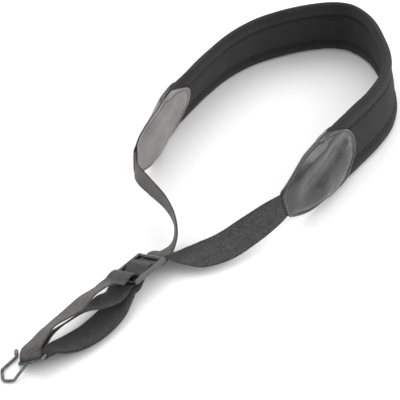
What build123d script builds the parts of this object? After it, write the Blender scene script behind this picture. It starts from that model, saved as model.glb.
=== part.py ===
from build123d import *
import math
import os

os.makedirs("parts", exist_ok=True)

# Saxophone neck strap lying on a table: padded neck piece standing on its lower edge,
# one long web that runs down from the pad, through a three-bar slider, round the eye
# of a wire hook and back. Units are millimetres, +Z is up, +X runs from hook to pad.

# ---------------------------------------------------------------- driving dimensions
WEB_WIDTH = 25.4
WEB_THICK = 1.4
WEB_GAP = 0.3                       # air between two layers of web, or web and metal
LAYER = WEB_THICK + WEB_GAP         # pitch of stacked layers
JOIN_GAP = 0.3                      # where one continuous web is split between bodies

PAD_HALF = 31.0                     # half the width of the neck pad
CORE_HALF = 28.6                    # half the width of the foam core
CORE_THICK = 4.8
PANEL_HALF = 17.0                   # half the width of the flat centre panels
PANEL_THICK = 1.0
RIM_HALF_THICK = 4.0                # half thickness of the puffed edge bindings
SKIN_GAP = 0.1

PATCH_LENGTH = 106.0
LEATHER_THICK = 1.0
STITCH_INSET = 3.0
STITCH_WIDE = 0.7
STITCH_TALL = 0.5

SLIDER_LENGTH = 38.0
SLIDER_TILT = 24.0                  # near rail raised by this angle
SLIDER_CENTRE = Vector(-111, -26, 15.0)
SLOT_WIDTH = WEB_WIDTH + 0.8
RAIL_WIDE = 2.6
RAIL_TALL = 4.6
BAR_RADIUS = 1.8
END_BAR_U = 17.2                    # end bars, measured along the slider from its centre
MIDDLE_BAR_U = 3.0
MIDDLE_BAR_DROP = 1.5               # middle bar sits lower than the end bars

HOOK_WIRE_RADIUS = 1.25
EYE_CENTRE = Vector(-235, -26.7, 12.0)
EYE_AXIS = Vector(0.20, -0.78, 0.60).normalized()
EYE_HALF_LENGTH = 14.1
EYE_DEPTH = 6.2
EYE_CORNER = 1.8
EYE_DROP = 15.0                     # degrees that the eye hangs below the web's pull
SHANK_OFFSET = -4.0                 # shank's place along the eye, from its middle
TIP_SLEEVE_RADIUS = 1.7
TIP_SLEEVE_LENGTH = 5.0

ROW_STEP = 4.0                      # spacing of the sections along a web or the pad
TURN_STEPS = 8                      # sections round a bar

# Shift that puts the row's origin at the middle of the footprint, on the table.
DATUM = Vector(-2.6, -3.4, 0.2)

# ------------------------------------------------------------------------ strap route
# Each station is the middle of the strap: x, y, z, then the direction of its width as
# a heading in the floor plane and a rise above it, both in degrees.
LEFT_WEB = [
    (-80, -29.5, 13.5, -97, 39),
    (-66, -27, 17.5, -118, 60),
    (-52, -15, 22, -140, 66),
    (-43, 3, 26, -145, 72),
    (-38.5, 25, 29, -145, 80),
    (-35, 40, 31, -140, 85),
    (-29, 49.5, 31.5, -120, 88),
    (-20, 54.5, 32, -90, 88),
]
NECK_PAD = [
    (-8, 57.5, 32.6, -75, 87),
    (10, 61.5, 32.8, -74, 85),
    (42, 74, 32.6, -76, 81),
    (72, 80, 31.8, -80, 79.5),
    (108, 86, 31, -83, 79.5),
    (145, 88.5, 31, -91, 79.5),
    (180, 84, 31, -104, 79.5),
    (214, 70, 31, -120, 79.5),
    (245, 49, 31, -136, 79.5),
    (259, 28, 31, -160, 79.5),
    (256, 2, 31, 170, 79.5),
    (242, -21, 31, 152, 79.5),
    (218, -48, 31, 130, 79.5),
    (190, -65, 31, 110, 79.5),
    (160, -72, 31, 100, 79.5),
    (128, -74.5, 31, 95, 79.5),
    (98, -77, 32, 93, 80),
    (66, -79.5, 32.9, 90, 81),
]
RIGHT_WEB = [
    (50, -80.5, 33.1, 84, 82),
    (18, -81.5, 31, 80, 82),
    (-1.5, -77, 26, 82, 62),
    (-22, -71, 20, 85, 44),
    (-43, -64, 14.5, 87, 26),
    (-60, -54.5, 11.8, 88, 10),
    (-69.5, -44.5, 10.4, 90, -9),
    (-77.5, -35, 9.4, 90, -21),
]
# Strands between slider and hook, from the slider towards the hook.
UPPER_STRAND = [
    (-149, -23.3, 22.5, -90, 40),
    (-168, -22.8, 25.5, -90, 40),
    (-186, -24.5, 25, -90, 34),
    (-200, -23, 24, -88, 40),
    (-213, -21.5, 22.5, -85, 46),
    (-222, -21.8, 19.8, -80, 44),
]
MIDDLE_STRAND = [
    (-142, -29.5, 11.8, -90, 24),
    (-154, -30, 13.8, -90, 18),
    (-168, -29.5, 16, -90, 32),
    (-183, -27, 18.2, -90, 50),
    (-198, -25, 18.4, -88, 52),
    (-212, -22.8, 16.8, -85, 48),
    (-221, -22.3, 15.2, -80, 42),
]
FLOOR_STRAND = [
    (-142, -33.5, 7.5, -90, 22),
    (-154, -37, 5.5, -90, 14),
    (-168, -38.5, 4.3, -90, 10),
    (-184, -38.5, 4.3, -90, 10),
    (-200, -36, 5.2, -90, 12),
    (-213, -32, 7.2, -86, 19),
    (-222, -29.1, 8.95, -80, 29),
]


# --------------------------------------------------------------------- ribbon helpers
def direction(heading, rise):
    """Unit vector from a heading in the floor plane and a rise above it."""
    flat = math.cos(math.radians(rise))
    x = math.cos(math.radians(heading)) * flat
    y = math.sin(math.radians(heading)) * flat
    return Vector(x, y, math.sin(math.radians(rise)))


def hermite(a, b, tangent_a, tangent_b, t):
    """Point at t on the cubic from a to b with the given end tangents."""
    t2 = t * t
    t3 = t2 * t
    start = a * (2 * t3 - 3 * t2 + 1) + tangent_a * (t3 - 2 * t2 + t)
    return start + b * (3 * t2 - 2 * t3) + tangent_b * (t3 - t2)


def tangents(points, chords):
    """Catmull-Rom tangent at each point, per unit of chord length."""
    found = []
    last = len(points) - 1
    for i in range(len(points)):
        before = max(i - 1, 0)
        after = min(i + 1, last)
        found.append((points[after] - points[before]) / (chords[after] - chords[before]))
    return found


def strap_rows(stations, step=ROW_STEP):
    """Sections along a strap: centre, width direction and face normal at each."""
    points = [Vector(*s[:3]) for s in stations]
    widths = [direction(*s[3:]) for s in stations]
    chords = [0.0]
    for a, b in zip(points, points[1:]):
        chords.append(chords[-1] + (b - a).length)
    point_slopes = tangents(points, chords)
    width_slopes = tangents(widths, chords)
    centres = []
    acrosses = []
    for i in range(len(points) - 1):
        span = chords[i + 1] - chords[i]
        count = max(1, round(span / step))
        for k in range(count):
            t = k / count
            ends = (point_slopes[i] * span, point_slopes[i + 1] * span)
            centres.append(hermite(points[i], points[i + 1], *ends, t))
            ends = (width_slopes[i] * span, width_slopes[i + 1] * span)
            acrosses.append(hermite(widths[i], widths[i + 1], *ends, t))
    centres.append(points[-1])
    acrosses.append(widths[-1])
    return squared_rows(centres, acrosses)


def squared_rows(centres, acrosses):
    """Make each width direction square to the route and add the face normal."""
    rows = []
    last = len(centres) - 1
    for i, centre in enumerate(centres):
        along = (centres[min(i + 1, last)] - centres[max(i - 1, 0)]).normalized()
        across = (acrosses[i] - along * acrosses[i].dot(along)).normalized()
        rows.append((centre, across, across.cross(along)))
    return rows


def row_distances(rows):
    """Distance along the route at each section."""
    found = [0.0]
    for a, b in zip(rows, rows[1:]):
        found.append(found[-1] + (b[0] - a[0]).length)
    return found


def row_at(rows, distances, place):
    """Section at a distance along the route."""
    i = 0
    while i < len(rows) - 2 and distances[i + 1] < place:
        i += 1
    t = (place - distances[i]) / (distances[i + 1] - distances[i])
    a = rows[i]
    b = rows[i + 1]
    centre = a[0] + (b[0] - a[0]) * t
    across = (a[1] + (b[1] - a[1]) * t).normalized()
    up = a[2] + (b[2] - a[2]) * t
    up = (up - across * up.dot(across)).normalized()
    return (centre, across, up)


def cut_rows(rows, start, end):
    """Sections of a route from one distance to another."""
    distances = row_distances(rows)
    first = row_at(rows, distances, start)
    last = row_at(rows, distances, end)
    clear = ROW_STEP / 4
    inner = [r for r, d in zip(rows, distances) if start + clear < d < end - clear]
    return [first] + inner + [last]


def section(row, outline):
    """Closed wire of an outline of (across, up) points on one section."""
    centre, across, up = row
    points = [centre + across * v + up * h for v, h in outline]
    return Wire.make_polygon(points, close=True)


def lofted(rows, outlines):
    """Solid through one outline per section."""
    wires = [section(row, outline) for row, outline in zip(rows, outlines)]
    return Solid.make_loft(wires, ruled=True)


def slab(half_width, low, high):
    """Rectangular outline."""
    return [(-half_width, low), (half_width, low), (half_width, high), (-half_width, high)]


def web(rows, offset=0.0):
    """Webbing along the sections, shifted along its face normal by offset."""
    outline = slab(WEB_WIDTH / 2, offset - WEB_THICK / 2, offset + WEB_THICK / 2)
    return lofted(rows, [outline] * len(rows))


# ---------------------------------------------------------------------- slider places
SLIDER_ACROSS = direction(-90, SLIDER_TILT)
SLIDER_UP = SLIDER_ACROSS.cross(Vector(1, 0, 0))
FIRST_LAYER = BAR_RADIUS + WEB_GAP + WEB_THICK / 2


def on_slider(u, h):
    """Station at u along the slider and h above its mid-plane."""
    centre = SLIDER_CENTRE + Vector(u, 0, 0) + SLIDER_UP * h
    return (centre.X, centre.Y, centre.Z, -90, SLIDER_TILT)


def round_bar(bar, radius, start, end):
    """Stations round a slider bar, from one angle to another, 90 being on top."""
    u, h = bar
    found = []
    for k in range(TURN_STEPS + 1):
        angle = math.radians(start + (end - start) * k / TURN_STEPS)
        found.append(on_slider(u + radius * math.cos(angle), h + radius * math.sin(angle)))
    return found


def slider_pass(top_radius, middle_radius, bottom_radius):
    """Stations of a web under the top bar, over the middle one and below the bottom one."""
    top = (END_BAR_U, 0)
    middle = (MIDDLE_BAR_U, -MIDDLE_BAR_DROP)
    bottom = (-END_BAR_U, 0)
    upper_run = math.hypot(END_BAR_U - MIDDLE_BAR_U, MIDDLE_BAR_DROP)
    lower_run = math.hypot(END_BAR_U + MIDDLE_BAR_U, MIDDLE_BAR_DROP)
    rise = math.asin((top_radius + middle_radius) / upper_run)
    rise = math.degrees(rise - math.asin(MIDDLE_BAR_DROP / upper_run))
    fall = math.asin((middle_radius + bottom_radius) / lower_run)
    fall = math.degrees(fall - math.asin(MIDDLE_BAR_DROP / lower_run))
    stations = [on_slider(END_BAR_U + 3.0, -top_radius + 0.1)]
    stations += round_bar(top, top_radius, -90, -90 - rise)
    stations += round_bar(middle, middle_radius, 90 - rise, 90 + fall)
    stations += round_bar(bottom, bottom_radius, -90 + fall, -90)
    stations.append(on_slider(-TURN_END, -bottom_radius))
    return stations


# ------------------------------------------------------------------------- hook places
PULL = (Vector(1, 0, 0) - EYE_AXIS * EYE_AXIS.X).normalized()
EYE_UP = EYE_AXIS.cross(PULL)
INNER_WRAP = HOOK_WIRE_RADIUS + WEB_GAP + WEB_THICK / 2
OUTER_WRAP = INNER_WRAP + LAYER
UPPER_SLOPE = 38.0                  # rise of the upper strand where it meets the hook
MIDDLE_SLOPE = 18.0
WRAP_END = 1.5                      # how far a wrap runs on past the eye's bar
EYE_HEADING = math.degrees(math.atan2(EYE_AXIS.Y, EYE_AXIS.X))
EYE_RISE = math.degrees(math.asin(EYE_AXIS.Z))


def at_eye(along, up):
    """Station beside the hook's eye: along the web's pull and up from the bar."""
    centre = EYE_CENTRE + PULL * along + EYE_UP * up
    return (centre.X, centre.Y, centre.Z, EYE_HEADING, EYE_RISE)


def off_eye(radius, slope, run):
    """Station of a strand that leaves the top of a wrap at a slope, after a straight run."""
    lean = math.radians(slope)
    along = run * math.cos(lean) - radius * math.sin(lean)
    return at_eye(along, run * math.sin(lean) + radius * math.cos(lean))


def round_eye(radius, slope):
    """Stations of a turn round the eye's bar, from its sloping top strand to below."""
    found = [off_eye(radius, slope, WRAP_END)]
    for k in range(TURN_STEPS + 1):
        angle = math.radians(90 + slope + (180 - slope) * k / TURN_STEPS)
        found.append(at_eye(radius * math.cos(angle), radius * math.sin(angle)))
    found.append(at_eye(WRAP_END, -radius))
    return found


# ------------------------------------------------------------------------- the routes
SECOND_LAYER = FIRST_LAYER + LAYER
PASS_END = END_BAR_U + 3.0
TURN_END = END_BAR_U + 2.0
LOOP_TOP = (-25.0, 4.4)             # where the upper strand arrives above the slider
UPPER_DROP = 7.5                    # how far below the last bar the two webs hang
LOWER_DROP = UPPER_DROP + LAYER


def facing_back(u, h):
    """Station on the slider of a web that comes the other way, same face up."""
    x, y, z, heading, rise = on_slider(u, h)
    return (x, y, z, heading + 180, -rise)


LEFT_ENTRY = [
    on_slider(PASS_END + JOIN_GAP, -FIRST_LAYER),
    on_slider(PASS_END + 4.0, -FIRST_LAYER + 0.6),
]
RIGHT_ENTRY = [
    facing_back(PASS_END + 4.7, -SECOND_LAYER),
    facing_back(PASS_END + JOIN_GAP, -SECOND_LAYER),
]
STRAP = strap_rows(LEFT_ENTRY + LEFT_WEB + NECK_PAD + RIGHT_WEB + RIGHT_ENTRY)
STRAP_AT = row_distances(STRAP)


def place_of(x, y):
    """Distance along the strap of the section nearest to a point of the floor plan."""
    gaps = [math.hypot(row[0].X - x, row[0].Y - y) for row in STRAP]
    return STRAP_AT[gaps.index(min(gaps))]


LEFT_TIP = place_of(-29, 49.5) + 3.0    # narrow end of the left leather patch
RIGHT_TIP = place_of(18, -81.5) + 4.0
TAB_PLACE = place_of(250, 43)
WEB_IN_PATCH = 28.0                 # how far the web reaches between the leathers
CORE_IN_PATCH = 30.0                # how far from the patch's tip the foam starts
RIM_IN_PATCH = 62.0                 # how far from the tip the panels and bindings start


def patch_row(tip, way, depth):
    """Strap section at a depth from a patch's tip; way is +1 left and -1 right."""
    return row_at(STRAP, STRAP_AT, tip + way * depth)


# -------------------------------------------------------------------------- neck pad
PATCH_HALF_WIDTHS = [
    (0, 9), (1.5, 13), (5, 17), (12, 21.5), (22, 26.5), (34, 30.5), (46, 32), (58, 32.2),
    (70, 31.2), (82, 28), (92, 23), (99, 17), (104, 10), (106, 4),
]
PATCH_STAND_OFF = [
    (0, 1.4), (12, 1.5), (24, 2.3), (36, 3.8), (50, 5.2), (66, 5.6), (94, 5.0), (106, 4.8),
]


def looked_up(table, place):
    """Value at a place in a table of (place, value), straight between entries."""
    for (a, low), (b, high) in zip(table, table[1:]):
        if place <= b:
            return low + (high - low) * (place - a) / (b - a)
    return table[-1][1]


def pad_strip(outline, start, end):
    """Solid of one outline along the pad."""
    rows = cut_rows(STRAP, start, end)
    return lofted(rows, [outline] * len(rows))


def pad_core():
    """Foam core, thinned and narrowed where it ends between the leathers."""
    rows = cut_rows(STRAP, LEFT_TIP + CORE_IN_PATCH, RIGHT_TIP - CORE_IN_PATCH)
    distances = row_distances(rows)
    outlines = []
    for d in distances:
        depth = CORE_IN_PATCH + min(d, distances[-1] - d)
        half = min(CORE_HALF, looked_up(PATCH_HALF_WIDTHS, depth) - 4.0)
        if depth > RIM_IN_PATCH:
            half = CORE_HALF
        thick = min(CORE_THICK, 2 * looked_up(PATCH_STAND_OFF, depth) - 2.2)
        outlines.append(slab(half, -thick / 2, thick / 2))
    return lofted(rows, outlines)


def binding_outline(side):
    """C-shaped outline of a puffed edge binding; side is +1 for the top edge."""
    lip = PANEL_HALF + 0.2
    pocket = CORE_HALF + SKIN_GAP
    face = CORE_THICK / 2 + SKIN_GAP
    thick = RIM_HALF_THICK
    edge = PAD_HALF
    inner = [(lip, face), (pocket, face), (pocket, -face), (lip, -face)]
    outer = [(lip, face + 1.0), (lip + 3, thick - 0.2), (lip + 7, thick)]
    outer += [(edge - 2.5, thick - 0.5), (edge - 0.5, thick * 0.5), (edge, 0)]
    mirrored = [(v, -h) for v, h in outer[:-1]]
    outline = inner + mirrored + outer[::-1]
    return [(v * side, h) for v, h in outline]


def patch_leather(tip, way, face):
    """Egg-shaped leather on one face; face is +1 outside the ring and -1 inside."""
    rows = []
    outlines = []
    for depth, half in PATCH_HALF_WIDTHS:
        rows.append(patch_row(tip, way, depth))
        middle = face * looked_up(PATCH_STAND_OFF, depth)
        outlines.append(slab(half, middle - LEATHER_THICK / 2, middle + LEATHER_THICK / 2))
    return lofted(rows, outlines)


def thread(points, ups):
    """Small square thread through points, lying flat against a surface."""
    wires = []
    last = len(points) - 1
    for i, point in enumerate(points):
        along = (points[min(i + 1, last)] - points[max(i - 1, 0)]).normalized()
        side = ups[i].cross(along).normalized() * (STITCH_WIDE / 2)
        rise = ups[i] * STITCH_TALL
        corners = [point - side, point + side, point + side + rise, point - side + rise]
        wires.append(Wire.make_polygon(corners, close=True))
    return Solid.make_loft(wires, ruled=True)


def patch_stitching(tip, way, face):
    """Stitch line just inside the edge of one leather, open at its narrow end."""
    depths = [d for d, half in PATCH_HALF_WIDTHS if d >= 5 and half > 18]
    depths = [3, 12] + depths
    sides = [(d, looked_up(PATCH_HALF_WIDTHS, d) - STITCH_INSET) for d in depths]
    turn = [(PATCH_LENGTH - STITCH_INSET, 6), (PATCH_LENGTH - STITCH_INSET, -6)]
    path = sides + turn + [(d, -v) for d, v in sides[::-1]]
    points = []
    ups = []
    for depth, v in path:
        centre, across, up = patch_row(tip, way, depth)
        lift = looked_up(PATCH_STAND_OFF, depth) + LEATHER_THICK / 2 + 0.3
        points.append(centre + across * v + up * (face * lift))
        ups.append(up * face)
    return thread(points, ups)


def seam_thread(side, face):
    """Line of stitching that holds a binding's lip down on one face of the pad."""
    rows = cut_rows(STRAP, LEFT_TIP + PATCH_LENGTH, RIGHT_TIP - PATCH_LENGTH)
    v = side * (PANEL_HALF + 1.4)
    lift = CORE_THICK / 2 + SKIN_GAP + 1.0 + 0.3
    points = [row[0] + row[1] * v + row[2] * (face * lift) for row in rows]
    ups = [row[2] * face for row in rows]
    return thread(points, ups)


def centre_panel(face):
    """Flat panel between the bindings on one face."""
    low = CORE_THICK / 2 + SKIN_GAP
    outline = slab(PANEL_HALF, face * low, face * (low + PANEL_THICK))
    return pad_strip(outline, LEFT_TIP + RIM_IN_PATCH, RIGHT_TIP - RIM_IN_PATCH)


def centre_tab():
    """Plain sewn tab across the inner panel at the middle of the neck."""
    low = CORE_THICK / 2 + SKIN_GAP + PANEL_THICK + SKIN_GAP
    return pad_strip(slab(13.0, -low - 0.6, -low), TAB_PLACE - 7.0, TAB_PLACE + 7.0)


# ---------------------------------------------------------------------------- slider
def slider_frame():
    """Three-bar slider: two deep rails joined by three round bars."""
    rail_y = SLOT_WIDTH / 2 + RAIL_WIDE / 2
    rail = Box(SLIDER_LENGTH, RAIL_WIDE, RAIL_TALL)
    rail = fillet(rail.edges().filter_by(Axis.Y), RAIL_TALL / 2 - 0.1)
    rail = fillet(rail.edges(), 0.5)
    frame = Pos(0, rail_y, 0) * rail + Pos(0, -rail_y, 0) * rail
    for u, h in ((-END_BAR_U, 0), (MIDDLE_BAR_U, -MIDDLE_BAR_DROP), (END_BAR_U, 0)):
        frame += Pos(u, 0, h) * Rot(90, 0, 0) * Cylinder(BAR_RADIUS, SLOT_WIDTH + RAIL_WIDE)
    return Plane(SLIDER_CENTRE, x_dir=(1, 0, 0), z_dir=SLIDER_UP) * frame


def lower_pass():
    """Web from the right side of the pad, lying against the lower faces."""
    return web(strap_rows(slider_pass(SECOND_LAYER, FIRST_LAYER, LOWER_DROP), step=1.6))


def upper_pass():
    """Web from the left side of the pad, lying on the lower pass."""
    return web(strap_rows(slider_pass(FIRST_LAYER, SECOND_LAYER, UPPER_DROP), step=1.6))


def slider_turn():
    """Slack turn of the web over the slider's hook-side bar."""
    bulge = [(-21.0, 5.7), (-16.5, 6.0), (-12.6, 4.6), (-10.8, 1.8), (-11.8, -1.2)]
    under = [(-14.6, -2.6), (-END_BAR_U, -FIRST_LAYER), (-TURN_END, -FIRST_LAYER)]
    stations = [on_slider(u, h) for u, h in [LOOP_TOP] + bulge + under]
    return web(strap_rows(stations, step=1.2))


# ------------------------------------------------------------- strands to the hook
STRAIGHT_RUN = 3.5                  # length that a strand runs on square to its bar


HOOK_CLEAR = WRAP_END + JOIN_GAP


def strand(leave, route, arrive, offset=0.0):
    """Web from the slider to the hook, square to its bar at both ends."""
    u, h = leave
    first = [on_slider(u - JOIN_GAP, h), on_slider(u - JOIN_GAP - STRAIGHT_RUN, h)]
    return web(strap_rows(first + route + arrive), offset)


def from_above(radius, slope):
    """Last stations of a strand that comes down to the top of a wrap."""
    runs = (HOOK_CLEAR + STRAIGHT_RUN, HOOK_CLEAR)
    return [off_eye(radius, slope, run) for run in runs]


def upper_strand():
    """Web from the top of the slider's turn to the outer wrap on the hook."""
    return strand(LOOP_TOP, UPPER_STRAND, from_above(OUTER_WRAP, UPPER_SLOPE))


def middle_strand():
    """Web from below the slider's turn to the inner wrap on the hook."""
    arrive = from_above(INNER_WRAP, MIDDLE_SLOPE)
    return strand((-TURN_END, -FIRST_LAYER), MIDDLE_STRAND, arrive)


def floor_strand(offset):
    """One of the two stacked webs near the table; a positive offset is the lower one."""
    leave = (-TURN_END, -(UPPER_DROP + LOWER_DROP) / 2)
    low = -(INNER_WRAP + OUTER_WRAP) / 2
    arrive = [at_eye(HOOK_CLEAR + STRAIGHT_RUN, low), at_eye(HOOK_CLEAR, low)]
    return strand(leave, FLOOR_STRAND, arrive, offset)


# ------------------------------------------------------------------------------ hook
def hook_points():
    """Corners of the hook's shank and bend, from the eye to the bare tip."""
    drop = math.radians(EYE_DROP)
    eye_out = PULL * -math.cos(drop) + EYE_UP * -math.sin(drop)
    start = EYE_CENTRE + eye_out * EYE_DEPTH + EYE_AXIS * SHANK_OFFSET
    bend = [(-257.5, -25.6, 1.8), (-263.0, -19.0, 1.6), (-255.5, -10.2, 1.6)]
    point = [(-238.0, -9.2, 1.6), (-233.6, -4.4, 1.6)]
    return [start] + [Vector(*p) for p in bend + point]


def hook_wire():
    """Eye and hook in one bent wire."""
    drop = math.radians(EYE_DROP)
    eye_out = PULL * -math.cos(drop) + EYE_UP * -math.sin(drop)
    middle = EYE_CENTRE + eye_out * (EYE_DEPTH / 2)
    eye_plane = Plane(middle, x_dir=EYE_AXIS, z_dir=EYE_AXIS.cross(eye_out))
    half = EYE_HALF_LENGTH
    loop = eye_plane * RectangleRounded(2 * half, EYE_DEPTH, EYE_CORNER)
    loop_path = loop.wire()
    start = loop_path @ 0
    ring = sweep(Plane(start, z_dir=loop_path % 0) * Circle(HOOK_WIRE_RADIUS), loop_path)
    points = hook_points()
    shank_path = FilletPolyline(*points, radius=[3.5, 3.5, 4.0, 3.0])
    tip = Plane(points[0], z_dir=shank_path % 0) * Circle(HOOK_WIRE_RADIUS)
    return ring + sweep(tip, shank_path)


def hook_tip_sleeve():
    """Small plastic sleeve pushed over the hook's tip."""
    points = hook_points()
    along = (points[-1] - points[-2]).normalized()
    plane = Plane(points[-1] + along * 0.6, z_dir=-along)
    seat = (Align.CENTER, Align.CENTER, Align.MIN)
    body = Cylinder(TIP_SLEEVE_RADIUS, TIP_SLEEVE_LENGTH, align=seat)
    body = fillet(body.edges(), 0.35)
    bore = Cylinder(HOOK_WIRE_RADIUS, TIP_SLEEVE_LENGTH, align=seat)
    return plane * (body - Pos(0, 0, 0.6) * bore)


# ------------------------------------------------------------------------- the pieces
def both(make, *args):
    """One node of two solids, one for each face of the pad."""
    return Compound(children=[make(*args, 1), make(*args, -1)])


def all_pieces():
    """Every node of the strap by name."""
    end = STRAP_AT[-1]
    rim_ends = (LEFT_TIP + RIM_IN_PATCH, RIGHT_TIP - RIM_IN_PATCH)
    left_rows = cut_rows(STRAP, 0, LEFT_TIP + WEB_IN_PATCH)
    right_rows = cut_rows(STRAP, RIGHT_TIP - WEB_IN_PATCH, end)
    seams = [seam_thread(side, face) for face in (1, -1) for side in (1, -1)]
    return {
        "pad_core": pad_core(),
        "outer_panel": centre_panel(1),
        "inner_panel": centre_panel(-1),
        "top_binding": pad_strip(binding_outline(1), *rim_ends),
        "bottom_binding": pad_strip(binding_outline(-1), *rim_ends),
        "outer_seam_threads": Compound(children=seams[:2]),
        "inner_seam_threads": Compound(children=seams[2:]),
        "centre_tab": centre_tab(),
        "left_patch_outer": patch_leather(LEFT_TIP, 1, 1),
        "left_patch_inner": patch_leather(LEFT_TIP, 1, -1),
        "right_patch_outer": patch_leather(RIGHT_TIP, -1, 1),
        "right_patch_inner": patch_leather(RIGHT_TIP, -1, -1),
        "left_patch_stitching": both(patch_stitching, LEFT_TIP, 1),
        "right_patch_stitching": both(patch_stitching, RIGHT_TIP, -1),
        "left_web": web(left_rows),
        "right_web": web(right_rows),
        "slider_frame": slider_frame(),
        "slider_web_upper": upper_pass(),
        "slider_web_lower": lower_pass(),
        "slider_web_turn": slider_turn(),
        "loop_upper_strand": upper_strand(),
        "loop_middle_strand": middle_strand(),
        "loop_floor_strand_upper": floor_strand(-LAYER / 2),
        "loop_floor_strand_lower": floor_strand(LAYER / 2),
        "hook_wrap_inner": web(strap_rows(round_eye(INNER_WRAP, MIDDLE_SLOPE), step=1.0)),
        "hook_wrap_outer": web(strap_rows(round_eye(OUTER_WRAP, UPPER_SLOPE), step=1.0)),
        "hook_wire": hook_wire(),
        "hook_tip_sleeve": hook_tip_sleeve(),
    }


for name, piece in all_pieces().items():
    export_step(piece.moved(Location(DATUM)), f"parts/{name}.step")
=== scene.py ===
"""Looks of a padded saxophone neck strap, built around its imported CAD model.

Lengths are millimetres in the strap's own route, and metres once a mesh is made.
"""

import math

import bpy
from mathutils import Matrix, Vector, noise


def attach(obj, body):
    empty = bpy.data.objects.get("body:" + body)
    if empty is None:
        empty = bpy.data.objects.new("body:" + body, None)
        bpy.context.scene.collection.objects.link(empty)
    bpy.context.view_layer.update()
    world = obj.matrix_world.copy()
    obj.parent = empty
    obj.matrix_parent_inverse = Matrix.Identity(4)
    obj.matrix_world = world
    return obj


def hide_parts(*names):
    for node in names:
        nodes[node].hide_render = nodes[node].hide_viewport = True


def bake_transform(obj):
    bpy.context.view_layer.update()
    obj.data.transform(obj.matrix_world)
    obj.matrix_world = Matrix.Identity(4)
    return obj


MM = 0.001
DATUM = Vector((-2.6, -3.4, 0.2))       # from the route's own origin to the row frame

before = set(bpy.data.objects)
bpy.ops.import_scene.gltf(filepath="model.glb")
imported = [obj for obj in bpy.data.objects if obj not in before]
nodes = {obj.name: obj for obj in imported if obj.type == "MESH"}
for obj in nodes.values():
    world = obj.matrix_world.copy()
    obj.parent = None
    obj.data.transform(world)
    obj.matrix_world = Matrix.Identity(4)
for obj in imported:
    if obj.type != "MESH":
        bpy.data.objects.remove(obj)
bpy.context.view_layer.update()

# ------------------------------------------------------------------ sizes of the strap
WEB_WIDTH = 25.4
WEB_THICK = 1.4
WEB_GAP = 0.3                           # air between two layers, or a layer and metal
LAYER = WEB_THICK + WEB_GAP
JOIN_GAP = 0.05                         # where the one web is split between two bodies
BAR_RADIUS = 1.8
END_BAR_U = 17.2                        # bars' places along the slider, from its centre
MIDDLE_BAR_U = 3.0
MIDDLE_BAR_DROP = 1.5                   # the middle bar sits lower than the end bars
SLIDER_TILT = 24.0                      # degrees
SLIDER_CENTRE = Vector((-111.0, -26.0, 15.0))
HOOK_WIRE_RADIUS = 1.25
EYE_CENTRE = Vector((-235.0, -26.7, 12.0))
EYE_AXIS = Vector((0.20, -0.78, 0.60)).normalized()
TURN_STEPS = 8
WRAP_END = 1.5                          # how far a wrap runs on past the eye's bar
STRAIGHT_RUN = 3.5                      # length that stays square to a bar
HOOK_CLEAR = WRAP_END + JOIN_GAP
UPPER_SLOPE = 38.0                      # rise of a strand where it leaves the hook
MIDDLE_SLOPE = 18.0
LOOP_TOP = (-25.0, 4.4)                 # where the upper strand starts, off the slider
UPPER_DROP = 7.5                        # how far the webs hang below the last bar
PATCH_LENGTH = 106.0
PAD_IN_PATCH = 62.0                     # depths from a patch's narrow tip
CORE_IN_PATCH = 30.0
WEB_IN_PATCH = 28.0
CORE_HALF = 28.6

# Stations: the middle of the strap, then its width's heading and rise in degrees.
LEFT_WEB = [
    (-80, -29.5, 13.5, -97, 39), (-66, -27, 17.5, -118, 60), (-52, -15, 22, -140, 66),
    (-43, 3, 26, -145, 72), (-38.5, 25, 29, -145, 80), (-35, 40, 31, -140, 85),
    (-29, 49.5, 31.5, -120, 88), (-20, 54.5, 32, -90, 88),
]
NECK_PAD = [
    (-8, 57.5, 32.6, -75, 87), (10, 61.5, 32.8, -74, 85), (42, 74, 32.6, -76, 81),
    (72, 80, 31.8, -80, 79.5), (108, 86, 31, -83, 79.5), (145, 88.5, 31, -91, 79.5),
    (180, 84, 31, -104, 79.5), (214, 70, 31, -120, 79.5), (245, 49, 31, -136, 79.5),
    (259, 28, 31, -160, 79.5), (256, 2, 31, 170, 79.5), (242, -21, 31, 152, 79.5),
    (218, -48, 31, 130, 79.5), (190, -65, 31, 110, 79.5), (160, -72, 31, 100, 79.5),
    (128, -74.5, 31, 95, 79.5), (98, -77, 32, 93, 80), (66, -79.5, 32.9, 90, 81),
]
RIGHT_WEB = [
    (50, -80.5, 33.1, 84, 82), (18, -81.5, 31, 80, 82), (-1.5, -77, 26, 82, 62),
    (-22, -71, 20, 85, 44), (-43, -64, 14.5, 87, 26), (-60, -54.5, 11.8, 88, 10),
    (-69.5, -44.5, 10.4, 90, -9), (-77.5, -35, 9.4, 90, -21),
]
UPPER_STRAND = [
    (-149, -23.3, 22.5, -90, 40), (-168, -22.8, 25.5, -90, 40), (-186, -24.5, 25, -90, 34),
    (-200, -23, 24, -88, 40), (-213, -21.5, 22.5, -85, 46), (-222, -21.8, 19.8, -80, 44),
]
MIDDLE_STRAND = [
    (-142, -29.5, 11.8, -90, 24), (-154, -30, 13.8, -90, 18), (-168, -29.5, 16, -90, 32),
    (-183, -27, 18.2, -90, 50), (-198, -25, 18.4, -88, 52), (-212, -22.8, 16.8, -85, 48),
    (-221, -22.3, 15.2, -80, 42),
]
FLOOR_STRAND = [
    (-142, -33.5, 7.5, -90, 22), (-154, -37, 5.5, -90, 14), (-168, -38.5, 4.3, -90, 10),
    (-184, -38.5, 4.3, -90, 10), (-200, -36, 5.2, -90, 12), (-213, -32, 7.2, -86, 19),
    (-222, -29.1, 8.95, -80, 29),
]


# --------------------------------------------------------------------- route functions
def direction(heading, rise):
    """Unit vector from a heading in the floor plane and a rise above it."""
    flat = math.cos(math.radians(rise))
    x = math.cos(math.radians(heading)) * flat
    y = math.sin(math.radians(heading)) * flat
    return Vector((x, y, math.sin(math.radians(rise))))


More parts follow.
